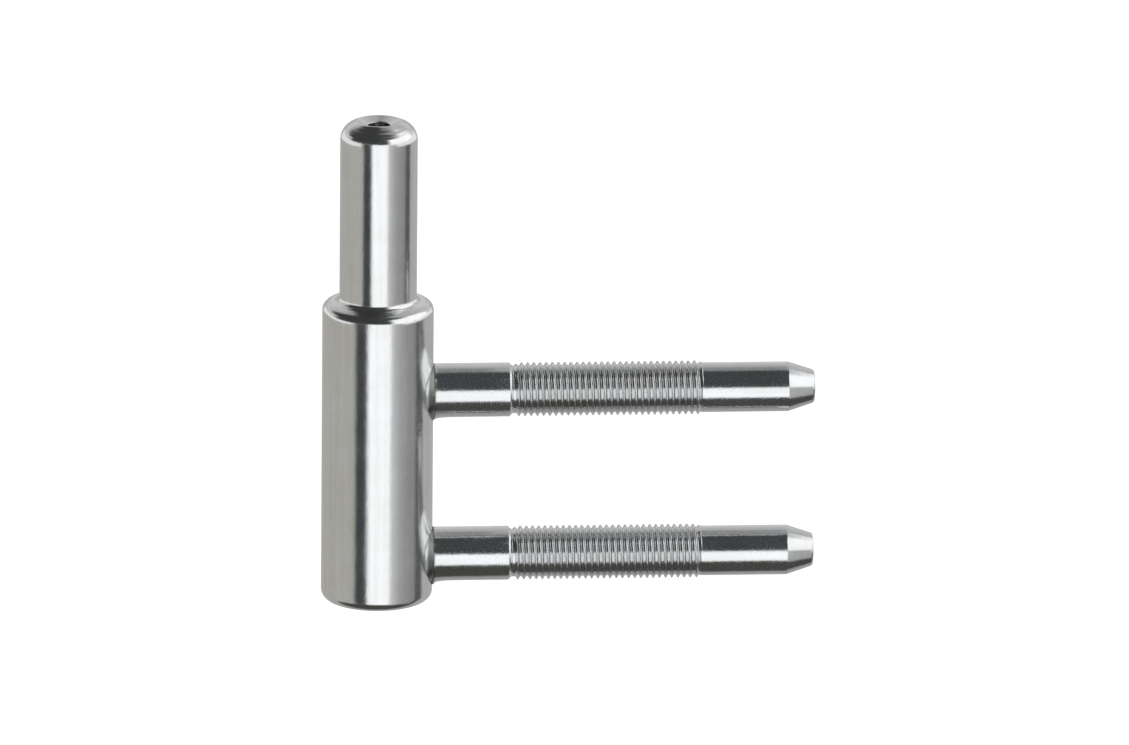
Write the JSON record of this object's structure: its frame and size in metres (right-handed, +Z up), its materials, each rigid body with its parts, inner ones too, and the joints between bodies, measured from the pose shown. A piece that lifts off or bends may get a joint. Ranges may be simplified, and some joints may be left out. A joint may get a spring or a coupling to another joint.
{
  "type": "drill-in lift-off door hinge, frame half",
  "caption": "Round turned knuckle with a fixed upright hinge pin and parallel threaded studs that screw into drilled holes in a door frame, bright zinc-plated steel.",
  "frame": {"origin": "on the hinge axis, in the plane of the bearing shoulder where the pin leaves the knuckle", "axes": "+Z up along the hinge pin, +X along the studs into the door frame, +Y by the right-hand rule"},
  "size_m": [0.064, 0.0144, 0.0641],
  "materials": {
    "turned_zinc": "bright zinc plating over a finely turned surface",
    "rolled_zinc": "bright zinc plating over drawn rod with a rolled thread"
  },
  "bodies": {
    "root": {"pin_knuckle": "turned_zinc", "upper_stud": "rolled_zinc", "lower_stud": "rolled_zinc"}
  },
  "joints": []
}
